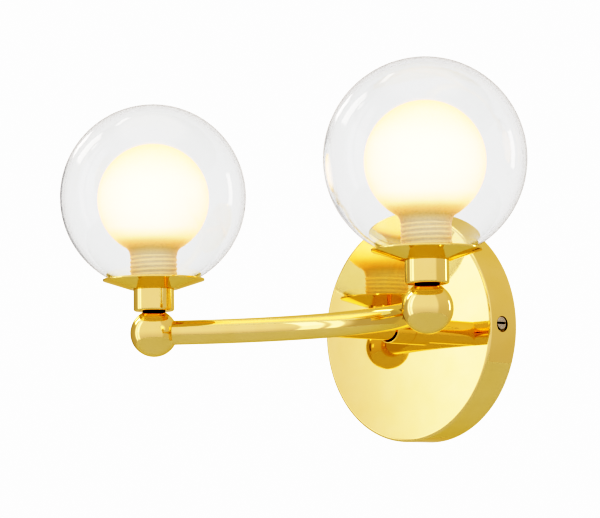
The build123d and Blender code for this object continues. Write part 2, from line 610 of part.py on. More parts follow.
# ================================================================ every piece by its name
FIXED_PIECES = {
    "canopy": make_canopy,
    "wall_bracket": make_wall_bracket,
    "stub_collar": make_collar,
    "stub_bush": make_stub_bush,
    "stub_nipple": make_stub_nipple,
    "stub_lock_washer": make_lock_washer,
    "stub_nut": make_stub_nut,
    "stub_tube": make_stub_tube,
    "arm_tube": make_arm_tube,
    "terminal_block": make_terminal_block,
    "terminal_screws": make_terminal_screws,
    "terminal_block_screw": make_block_screw,
    "earth_screw": make_earth_screw,
    "earth_washer": make_earth_washer,
}

LAMP_PIECES = {
    "end_ball": make_end_ball,
    "ball_nipple": make_ball_nipple,
    "neck_spacer": make_neck_spacer,
    "cup": make_cup,
    "tray": make_tray,
    "glass_carrier": make_glass_carrier,
    "carrier_nut": make_carrier_nut,
    "lampholder": make_lampholder,
    "lamp_base": make_lamp_base,
    "lamp_capsule": make_lamp_capsule,
    "lamp_pins": make_lamp_pins,
    "opal_bulb": make_opal_bulb,
    "clear_globe": make_clear_globe,
}


def build():
    """Every piece of the fitting by its node's name."""
    pieces = {name: make() for name, make in FIXED_PIECES.items()}
    side_screw = make_side_screw()
    pieces["side_screw_right"] = side_screw
    pieces["side_screw_left"] = mirror(side_screw, about=Plane.YZ)
    for name, make in LAMP_PIECES.items():
        piece = make()
        for side_name, side in SIDES.items():
            pieces[f"{name}_{side_name}"] = on_side(piece, side)
    for side_name, side in SIDES.items():
        for pole_name, pole in POLES.items():
            pieces[f"lead_{pole_name}_{side_name}"] = make_lead(side, pole)
    return pieces


for node, shape in build().items():
    export_step(shape, f"parts/{node}.step")
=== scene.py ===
"""Looks of the double arm wall sconce, laid out as an add-on and run as a script.

Metres.  +Z is up, +X is to the right as seen from the room and +Y goes into the wall, which the sconce
touches at y = 0.  Every piece is drawn in place, so its object stays at the origin.
"""
import json
from functools import partial
from math import acos, asin, cos, degrees, pi, radians, sin, sqrt, tan

import bmesh
import bpy
import numpy as np
from bpy.props import FloatProperty, FloatVectorProperty, PointerProperty
from mathutils import Matrix, Vector


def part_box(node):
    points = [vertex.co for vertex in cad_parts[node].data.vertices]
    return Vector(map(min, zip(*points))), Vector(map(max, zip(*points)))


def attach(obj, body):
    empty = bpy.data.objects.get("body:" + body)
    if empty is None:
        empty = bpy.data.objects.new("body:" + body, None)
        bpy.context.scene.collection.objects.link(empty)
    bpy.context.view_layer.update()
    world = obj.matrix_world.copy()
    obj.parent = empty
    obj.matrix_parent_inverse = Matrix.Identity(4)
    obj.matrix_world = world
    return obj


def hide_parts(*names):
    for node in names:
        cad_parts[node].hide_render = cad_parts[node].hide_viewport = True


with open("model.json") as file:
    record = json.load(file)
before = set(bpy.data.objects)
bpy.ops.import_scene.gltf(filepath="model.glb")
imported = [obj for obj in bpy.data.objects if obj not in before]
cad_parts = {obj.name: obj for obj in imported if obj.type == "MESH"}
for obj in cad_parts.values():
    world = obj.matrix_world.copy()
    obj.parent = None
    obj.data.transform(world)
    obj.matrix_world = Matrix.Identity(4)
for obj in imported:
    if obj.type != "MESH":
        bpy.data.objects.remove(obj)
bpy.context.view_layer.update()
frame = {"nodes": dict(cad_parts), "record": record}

bl_info = {
    "name": "Double arm wall sconce",
    "version": (1, 0, 0),
    "blender": (4, 5, 0),
    "location": "3D View > Sidebar > Sconce",
    "description": "Builds the polished gold wall sconce with its two double-walled glass globes",
    "category": "Add Mesh",
}

MM = 0.001
SIDES = {"left": -1, "right": 1}
PHOTO_WIDTH = 600
# clearances between a thread or a tube and the bore round it
SNUG = 0.05 * MM
LOOSE = 0.1 * MM


# ================================================================ sizes read from the frame
def width_of(node, axis):
    """A node's extent along one axis."""
    low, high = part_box(node)
    return high[axis] - low[axis]


def middle_of(node, axis):
    """Middle of a node's box along one axis."""
    low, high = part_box(node)
    return (high[axis] + low[axis]) / 2


def turned_size(node):
    """Radius, foot and top of a node that is turned about an upright axis."""
    low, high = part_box(node)
    return (high[0] - low[0]) / 2, low[2], high[2]


TUBE_R = width_of("arm_tube", 2) / 2
ARM_MIDDLE_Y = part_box("arm_tube")[1][1] - TUBE_R
LAMP_X = middle_of("cup_right", 0)
LAMP_Y = middle_of("cup_right", 1)
BALL_R, _, BALL_FLAT_Z = turned_size("end_ball_left")
GLOBE_R, _, GLOBE_TOP_Z = turned_size("clear_globe_left")
GLOBE_Z = GLOBE_TOP_Z - GLOBE_R
OPAL_R, NECK_FOOT_Z, OPAL_TOP_Z = turned_size("opal_bulb_left")
OPAL_Z = OPAL_TOP_Z - OPAL_R
CANOPY_R = width_of("canopy", 0) / 2
CANOPY_DEPTH = width_of("canopy", 1)
COLLAR_R = width_of("stub_collar", 0) / 2
COLLAR_TOP = -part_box("stub_collar")[0][1]


# ================================================================ what a user would change
def a_length(name, description, millimetres):
    """A length as a setting; its default is given in millimetres."""
    return FloatProperty(name=name, description=description, unit="LENGTH", subtype="DISTANCE",
                         default=millimetres * MM)


def an_angle(name, description, in_degrees):
    """An angle as a setting; its default is given in degrees."""
    return FloatProperty(name=name, description=description, subtype="ANGLE", default=radians(in_degrees))


def a_colour(name, description, default):
    """A colour as a setting."""
    return FloatVectorProperty(name=name, description=description, subtype="COLOR", size=3, min=0, max=1,
                               default=default)


class SconceMetal(bpy.types.PropertyGroup):
    """Finish of the plated metal and shapes of the turned pieces."""
    gold: a_colour("Gold", "Colour of the plate at its lightest", (0.955, 0.785, 0.430))
    gold_edge: a_colour("Gold aslant", "Tint of reflections at a grazing angle", (0.95, 0.85, 0.52))
    gold_deep: a_colour("Deep gold", "Colour of the plate at its deepest", (0.945, 0.770, 0.405))
    polish: FloatProperty(name="Polish", description="Mean roughness of the polished plate",
                          min=0, max=1, default=0.030)
    tube_wall: a_length("Tube wall", "Wall of the arm and stub tubes", 1.0)
    arm_angle: an_angle("Arm angle", "Each end of the arm against the wall", 35.0)
    arm_straight: a_length("Straight end", "Ball centre to the start of the bend", 20.0)
    arm_inset: a_length("Arm inset", "Ball centre to the tube's end in its socket", 6.0)
    canopy_sheet: a_length("Canopy sheet", "Wall of the pressed canopy", 1.2)
    canopy_edge: a_length("Canopy edge", "Outside radius of the canopy's front edge", 1.6)
    rim_hole_r: a_length("Rim hole", "Radius of the holes round the rim screws", 4.15)
    rim_hole_drop: a_length("Rim hole drop", "How far the holes sit below the screws", 0.55)
    tray_sheet: a_length("Tray sheet", "Wall of the spun trays", 1.0)
    tray_slope: an_angle("Tray slope", "Slope of the dish's side", 18.0)
    ball_land: a_length("Ball land", "Turned land on the ball's flat, under the neck", 1.1)
    cup_edge: a_length("Cup edge", "Radius of the cup's lower edge", 1.2)
    cup_wall: a_length("Cup wall", "Wall of the turned cup", 1.0)
    cup_floor: a_length("Cup floor", "Floor of the turned cup and of the carrier", 1.5)
    carrier_wall: a_length("Carrier wall", "Wall of the glass carrier over its thread", 1.4)
    nipple_r: a_length("Nipple radius", "Radius of the nipples' threads in the lamps", 5.0)


class SconceGlass(bpy.types.PropertyGroup):
    """Shape and finish of the double-walled glass."""
    globe_wall: a_length("Globe wall", "Wall of the clear globe", 2.0)
    opal_wall: a_length("Opal wall", "Wall of the opal bulb", 1.8)
    neck_r: a_length("Neck radius", "Radius of the neck over its thread", 12.7)
    neck_wall: a_length("Neck wall", "Wall of the neck", 2.0)
    shoulder_r: a_length("Shoulder", "Radius between neck and bulb", 4.5)
    thread_pitch: a_length("Thread pitch", "From crest to crest on the neck and its carrier", 2.35)
    thread_depth: a_length("Thread depth", "Crest above root on the neck", 0.5)
    refraction: FloatProperty(name="Refraction", description="Index of the clear glass",
                              min=1, max=2, default=1.46)
    # painted highlight: this lighter colour paints the light caught by the crests of the neck's thread
    crest: a_colour("Thread crests", "Colour of the crests of the neck's thread", (0.49, 0.525, 0.45))
    cream: a_colour("Cream", "Tint of the satin skin, deeper where it is seen aslant", (0.98, 0.80, 0.66))
    # painted glow of the opal glass, standing in for the lamp's light that passes through it
    glow: FloatProperty(name="Glow", description="Strength of the lit opal glass", min=0, max=10,
                        default=1.0)


class SconceView(bpy.types.PropertyGroup):
    """Camera that stands where the photograph was taken, and the studio round it."""
    azimuth: an_angle("Azimuth", "Camera's bearing from the room's axis", 44.85)
    elevation: an_angle("Elevation", "Camera above the lamps' level", -5.79)
    roll: an_angle("Roll", "Camera's turn about its line of sight", -0.73)
    distance: a_length("Distance", "Camera to the point it looks at", 1534.73)
    target: FloatVectorProperty(name="Target", description="Point that the camera looks at",
                                subtype="XYZ", size=3, unit="LENGTH",
                                default=(-0.04932, -0.05000, 0.03985))
    focal: FloatProperty(name="Focal length", description="In pixels of the photograph",
                         subtype="PIXEL", default=2842.78)
    floor_z: a_length("Floor", "Height of the pale floor under the sconce", -1200.0)
    backdrop: FloatProperty(name="Backdrop", description="Brightness of what the camera sees behind",
                            min=0, max=2, default=1.0)
    through_glass: FloatProperty(name="Through glass", description="Brightness of what is seen through glass",
                                 min=0, max=2, default=0.71)


# ================================================================ surfaces worked out with numpy
def rounded_outline(corners, closed, steps=8, margin=0.08 * MM):
    """Points of an outline whose corners (radius, height, fillet) are rounded.

    At a corner the two runs leave by unit vectors a and b.  With h half the angle between them, the arc
    of radius f starts f / tan h along each run and its centre lies f / sin h along a + b.  Each straight
    run keeps a point the margin away from both of its ends, so that smooth shading stays flat on it.
    """
    count = len(corners)
    places = np.array([corner[:2] for corner in corners], float)
    outline = []
    for i, (here, fillet) in enumerate(zip(places, (corner[2] for corner in corners))):
        if fillet <= 0 or (not closed and i in (0, count - 1)):
            outline.append(here[None])
            continue
        back = places[i - 1] - here
        ahead = places[(i + 1) % count] - here
        back /= np.linalg.norm(back)
        ahead /= np.linalg.norm(ahead)
        half = acos(np.clip(back @ ahead, -1, 1)) / 2
        centre = here + (back + ahead) / np.linalg.norm(back + ahead) * fillet / sin(half)
        start = here + back * fillet / tan(half) - centre
        end = here + ahead * fillet / tan(half) - centre
        share = np.linspace(0, 1, steps + 1)[:, None]
        sweep = pi - 2 * half
        arc = (start * np.sin((1 - share) * sweep) + end * np.sin(share * sweep)) / sin(sweep)
        outline.append(centre + arc)
    points = np.concatenate(outline)
    return with_margins(points, closed, margin)


def with_margins(points, closed, margin):
    """The outline with two more points on every run that is longer than four margins."""
    ends = np.roll(points, -1, axis=0) if closed else np.vstack([points[1:], points[-1:]])
    runs = np.linalg.norm(ends - points, axis=1)
    long_run = runs > 4 * margin
    inset = np.where(long_run, margin / np.maximum(runs, margin), 0)[:, None]
    trio = np.stack([points, points + (ends - points) * inset, ends + (points - ends) * inset], axis=1)
    keep = np.stack([np.ones_like(long_run), long_run, long_run], axis=1)
    return trio[keep]


def arc_outline(centre, radius, start, end, steps):
    """Points of an arc about a centre on the outline's plane, from angle start to angle end in degrees."""
    angle = np.radians(np.linspace(start, end, steps + 1))
    return np.stack([centre[0] + radius * np.cos(angle), centre[1] + radius * np.sin(angle)], axis=1)


def turned_grid(outline, steps):
    """Grid [angle, outline]: each point (radius, height) goes round the Z axis as (r cos t, r sin t, h)."""
    angle = np.linspace(0, 2 * pi, steps, endpoint=False)[:, None]
    radius, height = outline[:, 0], outline[:, 1]
    return np.stack([radius * np.cos(angle), radius * np.sin(angle),
                     np.broadcast_to(height, (steps, len(outline)))], axis=-1)


def grid_quads(rows, columns, wrap_rows, wrap_columns):
    """Corner numbers of the quads between neighbouring points of a rows by columns grid."""
    row = np.arange(rows if wrap_rows else rows - 1)[:, None]
    column = np.arange(columns if wrap_columns else columns - 1)[None, :]
    next_row = (row + 1) % rows
    next_column = (column + 1) % columns
    corners = [row * columns + column, next_row * columns + column,
               next_row * columns + next_column, row * columns + next_column]
    return np.stack(np.broadcast_arrays(*corners), axis=-1).reshape(-1, 4)


def mesh_from_grids(name, grids, sharp=radians(38)):
    """One closed, smooth-shaded mesh from grids (points, wrap_rows, wrap_columns) that share their edges."""
    points = []
    quads = []
    for grid, wrap_rows, wrap_columns in grids:
        start = sum(len(p) for p in points)
        quads.append(grid_quads(grid.shape[0], grid.shape[1], wrap_rows, wrap_columns) + start)
        points.append(grid.reshape(-1, 3))
    mesh = bpy.data.meshes.new(name)
    mesh.from_pydata(np.concatenate(points), [], np.concatenate(quads).tolist())
    shell = bmesh.new()
    shell.from_mesh(mesh)
    bmesh.ops.remove_doubles(shell, verts=shell.verts, dist=1e-7)
    bmesh.ops.dissolve_degenerate(shell, edges=shell.edges, dist=1e-8)
    bmesh.ops.recalc_face_normals(shell, faces=shell.faces)
    shell.to_mesh(mesh)
    shell.free()
    mesh.shade_smooth()
    mesh.set_sharp_from_angle(angle=sharp)
    return mesh


def add_piece(mesh, node, slot, body="fitting"):
    """Puts a finished mesh in the scene as the piece that rides on a body and stands for a CAD node."""
    piece = bpy.data.objects.new(mesh.name, mesh)
    bpy.context.scene.collection.objects.link(piece)
    mesh.materials.append(material_of(slot))
    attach(piece, body)
    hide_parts(node)


def at_lamp(side, grid):
    """A grid drawn round the Z axis, set at the left or the right lamp."""
    return grid + np.array([SIDES[side] * LAMP_X, LAMP_Y, 0.0])


def on_wall(grid):
    """A grid drawn round the Z axis, turned so that its height is the distance from the wall."""
    return np.stack([grid[..., 0], -grid[..., 2], grid[..., 1]], axis=-1)


def turned_mesh(name, outline, place, steps=96, closed=True):
    """A piece turned from an outline; an open outline has both of its ends on the axis."""
    return mesh_from_grids(name, [(place(turned_grid(outline, steps)), True, closed)])


# ================================================================ materials
# share of the way up the opal glass, colour: painted light of the lamp inside, used as both colour and glow:
# amber painted shade on the neck and shoulder, white where the lamp shines round the middle, a warmer crown
OPAL_PAINTED_LIGHT = ((0.0, (0.36, 0.40, 0.37)), (0.215, (0.385, 0.415, 0.38)), (0.26, (0.39, 0.375, 0.25)),
                (0.30, (0.60, 0.56, 0.39)), (0.334, (0.80, 0.80, 0.64)), (0.367, (0.90, 0.89, 0.78)),
                (0.40, (0.97, 0.94, 0.91)), (0.70, (0.97, 0.94, 0.91)), (0.84, (0.97, 0.93, 0.78)),
                (0.93, (0.97, 0.92, 0.73)), (1.0, (0.97, 0.91, 0.68)))
CREST_HIGHLIGHT_ATTRIBUTE = "thread_crest"

# slot: (two colours, lowest and highest roughness, metallic, scale of the grain, depth of the relief)
PLAIN_FINISHES = {
    "zinc_steel": (((0.60, 0.61, 0.60), (0.72, 0.72, 0.69)), (0.22, 0.42), 1.0, 300.0, 0.000006),
    "screw_steel": (((0.60, 0.55, 0.47), (0.68, 0.63, 0.55)), (0.16, 0.26), 1.0, 500.0, 0.0000012),
    "brass": (((0.66, 0.47, 0.19), (0.80, 0.60, 0.27)), (0.20, 0.36), 1.0, 500.0, 0.000005),
    "black_washer": (((0.010, 0.009, 0.008), (0.022, 0.020, 0.017)), (0.30, 0.50), 0.0, 600.0, 0.000008),
    "carrier_aluminium": (((0.72, 0.72, 0.72), (0.84, 0.84, 0.83)), (0.18, 0.32), 1.0, 500.0, 0.000004),
    "ceramic": (((0.80, 0.78, 0.72), (0.88, 0.87, 0.82)), (0.12, 0.28), 0.0, 250.0, 0.000008),
    "lamp_base_white": (((0.84, 0.83, 0.80), (0.90, 0.90, 0.88)), (0.15, 0.25), 0.0, 300.0, 0.000003),
    "pin_metal": (((0.66, 0.66, 0.65), (0.78, 0.78, 0.77)), (0.10, 0.22), 1.0, 500.0, 0.000003),
    "terminal_plastic": (((0.80, 0.79, 0.74), (0.88, 0.87, 0.83)), (0.30, 0.50), 0.0, 350.0, 0.000010),
    "lead_brown": (((0.13, 0.045, 0.014), (0.20, 0.075, 0.028)), (0.28, 0.45), 0.0, 400.0, 0.000008),
    "lead_blue": (((0.012, 0.055, 0.30), (0.030, 0.095, 0.42)), (0.28, 0.45), 0.0, 400.0, 0.000008),
    "pale_floor": (((0.600, 0.630, 0.605), (0.610, 0.640, 0.615)), (0.55, 0.70), 0.0, 30.0, 0.0001),
}


class Nodes:
    """Adds nodes to a tree.  A node's input is given as a socket to link, a number or a colour."""

    def __init__(self, tree):
        self.tree = tree

    def fill(self, node, inputs):
        """Links the node's inputs, or sets those that aren't given as sockets."""
        for name, value in inputs.items():
            socket = node.inputs[name]
            if isinstance(value, bpy.types.NodeSocket):
                self.tree.links.new(value, socket)
            else:
                socket.default_value = (*value, 1) if socket.type == "RGBA" else value

    def add(self, kind, inputs, output=0, **settings):
        """A new node's output."""
        node = self.tree.nodes.new(kind)
        for name, value in settings.items():
            setattr(node, name, value)
        self.fill(node, inputs)
        return node.outputs[output]

    def math(self, operation, first, second=0.0):
        """One Math node on two sockets or numbers."""
        return self.add("ShaderNodeMath", {0: first, 1: second}, operation=operation)

    def spread(self, value, start, end, low=0.0, high=1.0, ease="LINEAR"):
        """The value's way from start to end, spread from low to high."""
        inputs = {"Value": value, "From Min": start, "From Max": end, "To Min": low, "To Max": high}
        return self.add("ShaderNodeMapRange", inputs, "Result", interpolation_type=ease)

    def mix_colours(self, share, first, second, kind="MIX"):
        """One MixRGB node on two colours."""
        return self.add("ShaderNodeMixRGB", {"Fac": share, "Color1": first, "Color2": second}, "Color",
                        blend_type=kind)

    def along(self, axis, coordinates="Object"):
        """The coordinate along one axis."""
        place = self.add("ShaderNodeTexCoord", {}, coordinates)
        return self.add("ShaderNodeSeparateXYZ", {"Vector": place}, axis)


class Finish(Nodes):
    """A new material: its tree, its Principled shader and the patterns that its sockets take."""

    def __init__(self, name):
        self.material = bpy.data.materials.new(name)
        self.material.use_nodes = True
        super().__init__(self.material.node_tree)
        self.shader = next(n for n in self.tree.nodes if n.type == "BSDF_PRINCIPLED")

    def noise(self, scale, detail):
        """Noise that sits on the Object coordinates."""
        place = self.add("ShaderNodeTexCoord", {}, "Object")
        return self.add("ShaderNodeTexNoise", {"Vector": place, "Scale": scale, "Detail": detail}, "Fac")

    def ramp(self, value, stops):
        """Colours along a value by stops of (position, colour)."""
        output = self.add("ShaderNodeValToRGB", {"Fac": value}, "Color")
        elements = output.node.color_ramp.elements
        for element, (position, shade) in zip(elements, (stops[0], stops[-1])):
            element.position = position
            element.color = (*shade, 1)
        for position, shade in stops[1:-1]:
            elements.new(position).color = (*shade, 1)
        return output

    def mottle(self, pattern, first, second):
        """Two colours in patches, by the middle range of a noise."""
        return self.ramp(pattern, ((0.35, first), (0.65, second)))

    def gloss(self, pattern, low, high):
        """A roughness from low to high, by the middle range of a noise."""
        return self.spread(pattern, 0.3, 0.7, low, high)

    def bump(self, pattern, depth, strength):
        """A relief whose depth is in metres."""
        inputs = {"Height": pattern, "Distance": depth, "Strength": strength}
        return self.add("ShaderNodeBump", inputs, "Normal")


def mottled_finish(name, colours, roughness, metallic, grain, relief):
    """A finish with mottled colour, uneven gloss and a fine relief: grain is the pattern's scale."""
    finish = Finish(name)
    fine = finish.noise(grain, 4.0)
    finish.fill(finish.shader, {
        "Base Color": finish.mottle(finish.noise(grain / 6, 2.0), *colours),
        "Roughness": finish.gloss(fine, *roughness),
        "Metallic": metallic,
        "Normal": finish.bump(fine, relief, 1.0),
    })
    return finish


def polished_gold():
    """Mirror polished plate: faint haze in its gloss and a ripple far finer than a reflection's edge."""
    metal = bpy.context.scene.sconce_metal
    shine = metal.polish
    finish = mottled_finish("polished_gold", (metal.gold_deep, metal.gold), (shine * 0.7, shine * 1.4),
                            1.0, 380.0, 0.0000003)
    finish.fill(finish.shader, {"Specular Tint": metal.gold_edge})
    return finish


def clear_glass():
    """Blown glass with a perfect polish: its tint and its surface waver slowly."""
    finish = Finish("clear_glass")
    wave = finish.noise(12.0, 0.0)
    finish.fill(finish.shader, {
        "Base Color": finish.mottle(wave, (0.980, 0.984, 0.986), (0.992, 0.994, 0.995)),
        "Roughness": 0.0,
        "Transmission Weight": 1.0,
        "IOR": bpy.context.scene.sconce_glass.refraction,
        "Normal": finish.bump(wave, 0.00001, 0.5),
    })
    return finish


def opal_glass():
    """Satin opal glass with a painted glow for the lamp inside: white round its middle, darker amber shade at
    the neck and shoulder, warm again on top, with painted highlights on the thread's crests.
    """
    glass = bpy.context.scene.sconce_glass
    finish = Finish("opal_glass")
    grain = finish.noise(900.0, 3.0)
    cloud = finish.mottle(finish.noise(40.0, 2.0), (0.975, 0.972, 0.965), (1, 1, 1))
    # painted light: the lamp's glow by height, white round the middle and shaded amber at the neck
    light = finish.ramp(finish.spread(finish.along("Z"), NECK_FOOT_Z, OPAL_TOP_Z), OPAL_PAINTED_LIGHT)
    # painted highlight on the crests of the neck's thread
    crest = finish.add("ShaderNodeAttribute", {}, "Fac", attribute_name=CREST_HIGHLIGHT_ATTRIBUTE)
    light = finish.mix_colours(crest, light, glass.crest)
    light = finish.mix_colours(1.0, light, cloud, "MULTIPLY")
    finish.fill(finish.shader, {
        "Base Color": light,
        "Emission Color": light,
        "Emission Strength": glass.glow,
        "Coat Weight": 1.0,
        "Coat IOR": 1.12,
        "Coat Roughness": 0.3,
        "Coat Tint": glass.cream,
        "Roughness": finish.gloss(grain, 0.22, 0.38),
        "Normal": finish.bump(grain, 0.000004, 0.5),
    })
    return finish


def lamp_glass():
    """The lamp's frosted envelope, lit."""
    finish = mottled_finish("lamp_glass", ((1.0, 0.93, 0.80), (1.0, 0.96, 0.86)), (0.30, 0.45),
                            0.0, 600.0, 0.000004)
    finish.fill(finish.shader, {"Emission Color": (1.0, 0.80, 0.50), "Emission Strength": 0.35})
    return finish


def rim_screw_steel_painted_shade():
    """Turned steel with painted shade: near-black in the slot, down the flank and on the shank, bright only
    on the head's face.
    """
    finish = mottled_finish("rim_screw_steel_painted_shade", *PLAIN_FINISHES["screw_steel"])
    face_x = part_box("side_screw_right")[1][0]
    outward = finish.math("ABSOLUTE", finish.along("X"))
    bright = finish.spread(outward, face_x - 0.5 * MM, face_x - 0.15 * MM)
    steel = finish.shader.inputs["Base Color"].links[0].from_socket
    # painted shade: near-black steel below the head's face, so that the slot reads dark
    finish.fill(finish.shader, {"Base Color": finish.mix_colours(bright, (0.045, 0.038, 0.030), steel)})
    return finish


LAYERED_FINISHES = {"polished_gold": polished_gold, "clear_glass": clear_glass, "opal_glass": opal_glass,
                    "lamp_glass": lamp_glass, "rim_screw_steel_painted_shade": rim_screw_steel_painted_shade}
MATERIALS = {}


def material_of(slot):
    """The material of a slot, made when it is first asked for."""
    if slot not in MATERIALS:
        if slot in LAYERED_FINISHES:
            finish = LAYERED_FINISHES[slot]()
        else:
            finish = mottled_finish(slot, *PLAIN_FINISHES[slot])
        MATERIALS[slot] = finish.material
    return MATERIALS[slot]


# ================================================================ arm and stub
def bend_radius(metal):
    """Radius of the arm's bend, on its centre line."""
    return (LAMP_X - metal.arm_straight * cos(metal.arm_angle)) / sin(metal.arm_angle)


def arm_path(metal, steps=120):
    """Points and outward normals of the arm's centre line, both in the plane z = 0.

    Each straight end runs at the arm's angle to the wall, and between them an arc about (0, centre_y)
    turns by twice that angle: (radius sin a, centre_y + radius cos a) for a from minus to plus the angle.
    """
    angle = metal.arm_angle
    radius = bend_radius(metal)
    centre_y = ARM_MIDDLE_Y - radius
    along = np.linspace(-angle, angle, steps + 1)
    normals = np.stack([np.sin(along), np.cos(along)], axis=1)
    arc = normals * radius + (0, centre_y)
    run = metal.arm_straight - metal.arm_inset
    ends = np.linspace(run, 0, 12, endpoint=False)[:, None]
    first = arc[0] - ends * (cos(angle), sin(angle))
    last = arc[-1] + ends[::-1] * (cos(angle), -sin(angle))
    points = np.concatenate([first, arc, last])
    return points, np.pad(normals, ((len(ends), len(ends)), (0, 0)), mode="edge")


def pipe_grid(points, normals, radius, steps=72):
    """Grid [path, angle]: point + radius (cos t normal + sin t up) along the path."""
    angle = np.linspace(0, 2 * pi, steps, endpoint=False)
    across = radius * np.cos(angle)
    flat = points[:, None, :] + normals[:, None, :] * across[None, :, None]
    rise = np.broadcast_to(radius * np.sin(angle), flat.shape[:2])
    return np.concatenate([flat, rise[..., None]], axis=-1)


def arm_mesh(metal):
    """Outside and bore of the bowed tube, joined at both ends."""
    points, normals = arm_path(metal)
    outside = pipe_grid(points, normals, TUBE_R)
    bore = pipe_grid(points[::-1], normals[::-1], TUBE_R - metal.tube_wall)
    return mesh_from_grids("arm_tube_finish", [(np.concatenate([outside, bore]), True, True)])


def saddle_y(metal, x, z):
    """Where a line along Y at (x, z) meets the wall side of the arm's tube.

    The arm is a ring of radius R about (0, centre_y), and the point lies sqrt(tube^2 - z^2) outside it.
    """
    radius = bend_radius(metal)
    ring = radius + np.sqrt(np.maximum(TUBE_R ** 2 - z ** 2, 0))
    return ARM_MIDDLE_Y - radius + np.sqrt(ring ** 2 - x ** 2)


def stub_mesh(metal):
    """Straight tube from the canopy's front, whose end follows the arm's surface."""
    angle = np.linspace(0, 2 * pi, 96, endpoint=False)[:, None]
    share = np.concatenate([[0.0], np.geomspace(0.01, 1, 24)])
    grids = []
    for radius, shares in ((TUBE_R, share), (TUBE_R - metal.tube_wall, share[::-1])):
        x = radius * np.cos(angle)
        z = radius * np.sin(angle)
        start_y = saddle_y(metal, x, z)
        y = start_y + (-CANOPY_DEPTH - start_y) * shares
        grids.append(np.stack([np.broadcast_to(x, y.shape), y, np.broadcast_to(z, y.shape)], axis=-1))
    return mesh_from_grids("stub_tube_finish", [(np.concatenate(grids, axis=1), True, True)])


class SCONCE_OT_arm(bpy.types.Operator):
    """Make the bowed arm and its stub"""
    bl_idname = "sconce.arm"
    bl_label = "Arm and stub"

    def execute(self, context):
        metal = context.scene.sconce_metal
        add_piece(arm_mesh(metal), "arm_tube", "polished_gold")
        add_piece(stub_mesh(metal), "stub_tube", "polished_gold")
        return {"FINISHED"}


# ================================================================ canopy and collar
def canopy_mesh(metal, steps=480):
    """Pressed cup with a screw hole through each side of its rim.

    The rim is a cylinder unrolled to (arc length, distance from the wall).  Over each hole a patch of it
    is redrawn by rays: each point of the patch's border is joined to the hole's edge in its direction.
    """
    inner_r = CANOPY_R - metal.canopy_sheet
    inner_edge = max(metal.canopy_edge - metal.canopy_sheet, 0.2 * MM)
    rim_top = CANOPY_DEPTH - metal.canopy_edge
    hole_r = width_of("stub_nipple", 0) / 2 + LOOSE
    inside = CANOPY_DEPTH - metal.canopy_sheet
    front = rounded_outline([(CANOPY_R, rim_top, 0), (CANOPY_R, CANOPY_DEPTH, metal.canopy_edge * 0.999),
                             (hole_r, CANOPY_DEPTH, 0), (hole_r, inside, 0),
                             (inner_r, inside, inner_edge * 0.999), (inner_r, inside - inner_edge, 0)],
                            False, steps=10)
    foot = np.array([(CANOPY_R, 0.0), (inner_r, 0.0)])
    grids = [(on_wall(turned_grid(outline, steps)), True, False) for outline in (front, foot)]
    skins = ((CANOPY_R, np.linspace(0, rim_top, 13)), (inner_r, np.linspace(0, inside - inner_edge, 13)))
    half = steps // 24
    side = steps // 2
    for radius, heights in skins:
        whole = turned_grid(np.stack([np.full_like(heights, radius), heights], axis=1), steps)
        for start, end in ((half, side - half), (side + half, steps - half)):
            grids.append((on_wall(whole[start:end + 1]), False, False))
    for facing in (1, -1):
        patches = [rim_patch(metal, radius, heights, facing, half, steps) for radius, heights in skins]
        hole_wall = np.stack([patch[:, -1] for patch in patches], axis=1)
        grids += [(grid, True, False) for grid in (*patches, hole_wall)]
    return mesh_from_grids("canopy_finish", grids)


def rim_patch(metal, radius, heights, facing, half, steps, rings=8):
    """Grid [ray, ring] of the rim round the screw hole that faces right (1) or left (-1).

    Each ray runs to the hole's edge from the patch's border, which lies half of its steps to either side.
    """
    setback = -middle_of("side_screw_right", 1)
    reach = np.arange(-half, half + 1) * 2 * pi / steps
    low = np.stack([reach, np.full_like(reach, heights[0])], axis=1)
    high = np.stack([reach[::-1], np.full_like(reach, heights[-1])], axis=1)
    right = np.stack([np.full_like(heights, reach[-1]), heights], axis=1)
    left = np.stack([np.full_like(heights, reach[0]), heights[::-1]], axis=1)
    border = np.concatenate([low[:-1], right[:-1], high[:-1], left[:-1]]) * (radius, 1)
    centre = np.array([-metal.rim_hole_drop * facing, setback])
    away = border - centre
    away /= np.linalg.norm(away, axis=1, keepdims=True)
    edge = centre + away * metal.rim_hole_r
    share = (np.linspace(0, 1, rings + 1) ** 0.8)[None, :, None]
    rays = border[:, None] + (edge - border)[:, None] * share
    angle = rays[..., 0] / radius
    across = radius * facing
    return on_wall(np.stack([across * np.cos(angle), across * np.sin(angle), rays[..., 1]], axis=-1))


def collar_mesh():
    """Sleeve with small rounds on its edges and a cone-shaped recess round the tube."""
    bore_r = TUBE_R + LOOSE
    mouth_r = COLLAR_R - 0.8 * MM
    recess_top = COLLAR_TOP - 1.2 * MM
    outline = rounded_outline([(bore_r, CANOPY_DEPTH, 0), (COLLAR_R, CANOPY_DEPTH, 0.3 * MM),
                               (COLLAR_R, COLLAR_TOP, 0.4 * MM), (mouth_r, COLLAR_TOP, 0.12 * MM),
                               (bore_r, recess_top, 0)], True)
    return turned_mesh("stub_collar_finish", outline, on_wall)


class SCONCE_OT_canopy(bpy.types.Operator):
    """Make the canopy on the wall and the collar on it"""
    bl_idname = "sconce.canopy"
    bl_label = "Canopy and collar"

    def execute(self, context):
        add_piece(canopy_mesh(context.scene.sconce_metal), "canopy", "polished_gold")
        add_piece(collar_mesh(), "stub_collar", "polished_gold")
        return {"FINISHED"}


